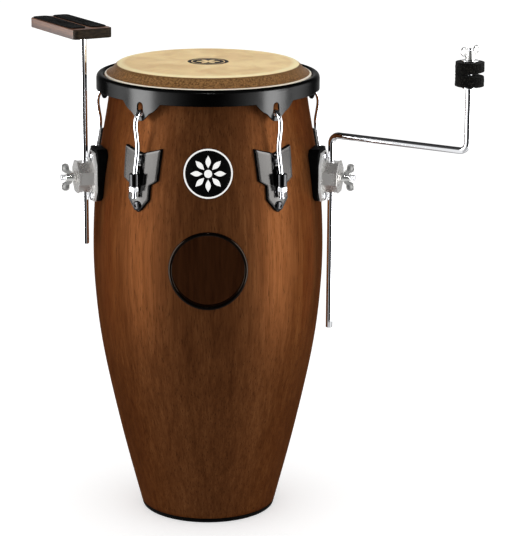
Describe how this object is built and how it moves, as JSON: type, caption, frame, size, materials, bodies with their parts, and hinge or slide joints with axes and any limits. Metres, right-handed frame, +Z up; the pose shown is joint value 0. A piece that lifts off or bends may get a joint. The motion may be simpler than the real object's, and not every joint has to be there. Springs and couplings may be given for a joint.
{
  "type": "conga drum",
  "caption": "Hand drum with a bulging wooden shell, hooked tension rods on a lobed steel rim, a side port, and rod clamps that carry a small board and a cranked felted post.",
  "frame": {"origin": "on the floor, under the centre of the whole object's box; the drum's own axis stands at x -57.5 mm, y 2.8 mm", "axes": "+Z up along the drum's axis, -Y to the front with the port and the badge, +X to the side of the cranked rod"},
  "size_m": [0.6201, 0.3644, 0.7143],
  "materials": {
    "stained_wood": "walnut stain under a clear satin lacquer",
    "board_wood": "satin",
    "hide": "natural rawhide",
    "black_plate": "glossy black plating",
    "bright_plate": "polished",
    "bolt_steel": "dark plated",
    "rubber": "matte",
    "dark_trim": "gloss",
    "grip_fabric": "hook-and-loop pile",
    "felt": "pressed wool felt"
  },
  "bodies": {
    "drum": {"shell": "stained_wood", "foot_ring": "rubber", "port_ring": "dark_trim", "badge": "dark_trim", "head_skin": "hide", "lug_plate_1": "black_plate", "lug_plate_2": "black_plate", "lug_plate_3": "black_plate", "lug_plate_4": "black_plate", "lug_plate_5": "black_plate", "lug_pad_1": "rubber", "lug_pad_2": "rubber", "lug_pad_3": "rubber", "lug_pad_4": "rubber", "lug_pad_5": "rubber", "lug_bolt_lower_1": "bolt_steel", "lug_bolt_lower_2": "bolt_steel", "lug_bolt_lower_3": "bolt_steel", "lug_bolt_lower_4": "bolt_steel", "lug_bolt_lower_5": "bolt_steel", "lug_bolt_upper_1": "bolt_steel", "lug_bolt_upper_2": "bolt_steel", "lug_bolt_upper_3": "bolt_steel", "lug_bolt_upper_4": "bolt_steel", "lug_bolt_upper_5": "bolt_steel", "left_mount_pad": "rubber", "left_bracket": "bright_plate", "left_bracket_bolt_lower": "bright_plate", "left_bracket_bolt_upper": "bright_plate", "left_clamp_cap": "bright_plate", "right_mount_pad": "rubber", "right_bracket": "bright_plate", "right_bracket_bolt_lower": "bright_plate", "right_bracket_bolt_upper": "bright_plate", "right_clamp_cap": "bright_plate"},
    "tuning_ring": {"rim": "black_plate", "flesh_hoop": "black_plate", "hook_1": "bright_plate", "hook_2": "bright_plate", "hook_3": "bright_plate", "hook_4": "bright_plate", "hook_5": "bright_plate"},
    "tuning_nut_1": {"tuning_nut_1": "bright_plate"},
    "tuning_nut_2": {"tuning_nut_2": "bright_plate"},
    "tuning_nut_3": {"tuning_nut_3": "bright_plate"},
    "tuning_nut_4": {"tuning_nut_4": "bright_plate"},
    "tuning_nut_5": {"tuning_nut_5": "bright_plate"},
    "left_wing_nut": {"left_wing_nut": "bright_plate"},
    "left_eyebolt": {"left_eyebolt": "bright_plate"},
    "board_rod": {"board_rod": "bright_plate"},
    "board": {"board": "board_wood", "grip_strip_outer": "grip_fabric", "grip_strip_inner": "grip_fabric"},
    "right_wing_nut": {"right_wing_nut": "bright_plate"},
    "right_eyebolt": {"right_eyebolt": "bright_plate"},
    "crank": {"crank_rod": "bright_plate", "felt_lower": "felt"},
    "upper_felt": {"felt_upper": "felt", "post_washer": "bright_plate"},
    "post_wing_nut": {"post_wing_nut": "bright_plate"}
  },
  "joints": [
    {"name": "tuning_nut_1_turn", "type": "hinge", "parent": "drum", "child": "tuning_nut_1", "pos_m": [-0.16046, -0.13548, 0.503], "axis": [0, 0, 1], "range_deg": [-1441, 866]},
    {"name": "tuning_nut_2_turn", "type": "hinge", "parent": "drum", "child": "tuning_nut_2", "pos_m": [0.04126, -0.13548, 0.503], "axis": [0, 0, 1], "range_deg": [-1441, 866]},
    {"name": "tuning_nut_3_turn", "type": "hinge", "parent": "drum", "child": "tuning_nut_3", "pos_m": [0.1036, 0.05638, 0.503], "axis": [0, 0, 1], "range_deg": [-1441, 866]},
    {"name": "tuning_nut_4_turn", "type": "hinge", "parent": "drum", "child": "tuning_nut_4", "pos_m": [-0.0596, 0.17495, 0.503], "axis": [0, 0, 1], "range_deg": [-1441, 866]},
    {"name": "tuning_nut_5_turn", "type": "hinge", "parent": "drum", "child": "tuning_nut_5", "pos_m": [-0.2228, 0.05638, 0.503], "axis": [0, 0, 1], "range_deg": [-1441, 866]},
    {"name": "tuning_ring_travel", "type": "slide", "parent": "drum", "child": "tuning_ring", "axis": [0, 0, -1], "range_m": [-0.005, 0.003]},
    {"name": "left_wing_nut_turn", "type": "hinge", "parent": "drum", "child": "left_wing_nut", "pos_m": [-0.23263, -0.04627, 0.501], "axis": [-0.9613, -0.2756, 0], "range_deg": [0, 255]},
    {"name": "left_eyebolt_travel", "type": "slide", "parent": "drum", "child": "left_eyebolt", "axis": [0.9613, 0.2756, 0], "range_m": [0, 0.00088]},
    {"name": "board_height", "type": "slide", "parent": "drum", "child": "board_rod", "axis": [0, 0, 1], "range_m": [-0.035, 0.065]},
    {"name": "board_swivel", "type": "hinge", "parent": "board_rod", "child": "board", "pos_m": [-0.23263, -0.04627, 0.7], "axis": [0, 0, 1], "continuous": true},
    {"name": "right_wing_nut_turn", "type": "hinge", "parent": "drum", "child": "right_wing_nut", "pos_m": [0.11343, -0.04627, 0.501], "axis": [0.9613, -0.2756, 0], "range_deg": [0, 255]},
    {"name": "right_eyebolt_travel", "type": "slide", "parent": "drum", "child": "right_eyebolt", "axis": [-0.9613, 0.2756, 0], "range_m": [0, 0.00088]},
    {"name": "crank_swivel", "type": "hinge", "parent": "drum", "child": "crank", "pos_m": [0.11343, -0.04627, 0.501], "axis": [0, 0, 1], "range_deg": [-87, 122]},
    {"name": "upper_felt_travel", "type": "slide", "parent": "crank", "child": "upper_felt", "axis": [0, 0, 1], "range_m": [0, 0.0051]},
    {"name": "post_wing_nut_turn", "type": "hinge", "parent": "upper_felt", "child": "post_wing_nut", "pos_m": [0.29062, -0.16266, 0.69], "axis": [0, 0, 1], "range_deg": [0, 1440]}
  ],
  "couplings": [
    {"joint": "tuning_nut_1_turn", "follows": "tuning_ring_travel", "rad_per_m": 5026.5},
    {"joint": "tuning_nut_2_turn", "follows": "tuning_ring_travel", "rad_per_m": 5026.5},
    {"joint": "tuning_nut_3_turn", "follows": "tuning_ring_travel", "rad_per_m": 5026.5},
    {"joint": "tuning_nut_4_turn", "follows": "tuning_ring_travel", "rad_per_m": 5026.5},
    {"joint": "tuning_nut_5_turn", "follows": "tuning_ring_travel", "rad_per_m": 5026.5},
    {"joint": "left_wing_nut_turn", "follows": "left_eyebolt_travel", "rad_per_m": 5026.5},
    {"joint": "right_wing_nut_turn", "follows": "right_eyebolt_travel", "rad_per_m": 5026.5},
    {"joint": "upper_felt_travel", "follows": "post_wing_nut_turn", "m_per_rad": 0.00019894}
  ]
}
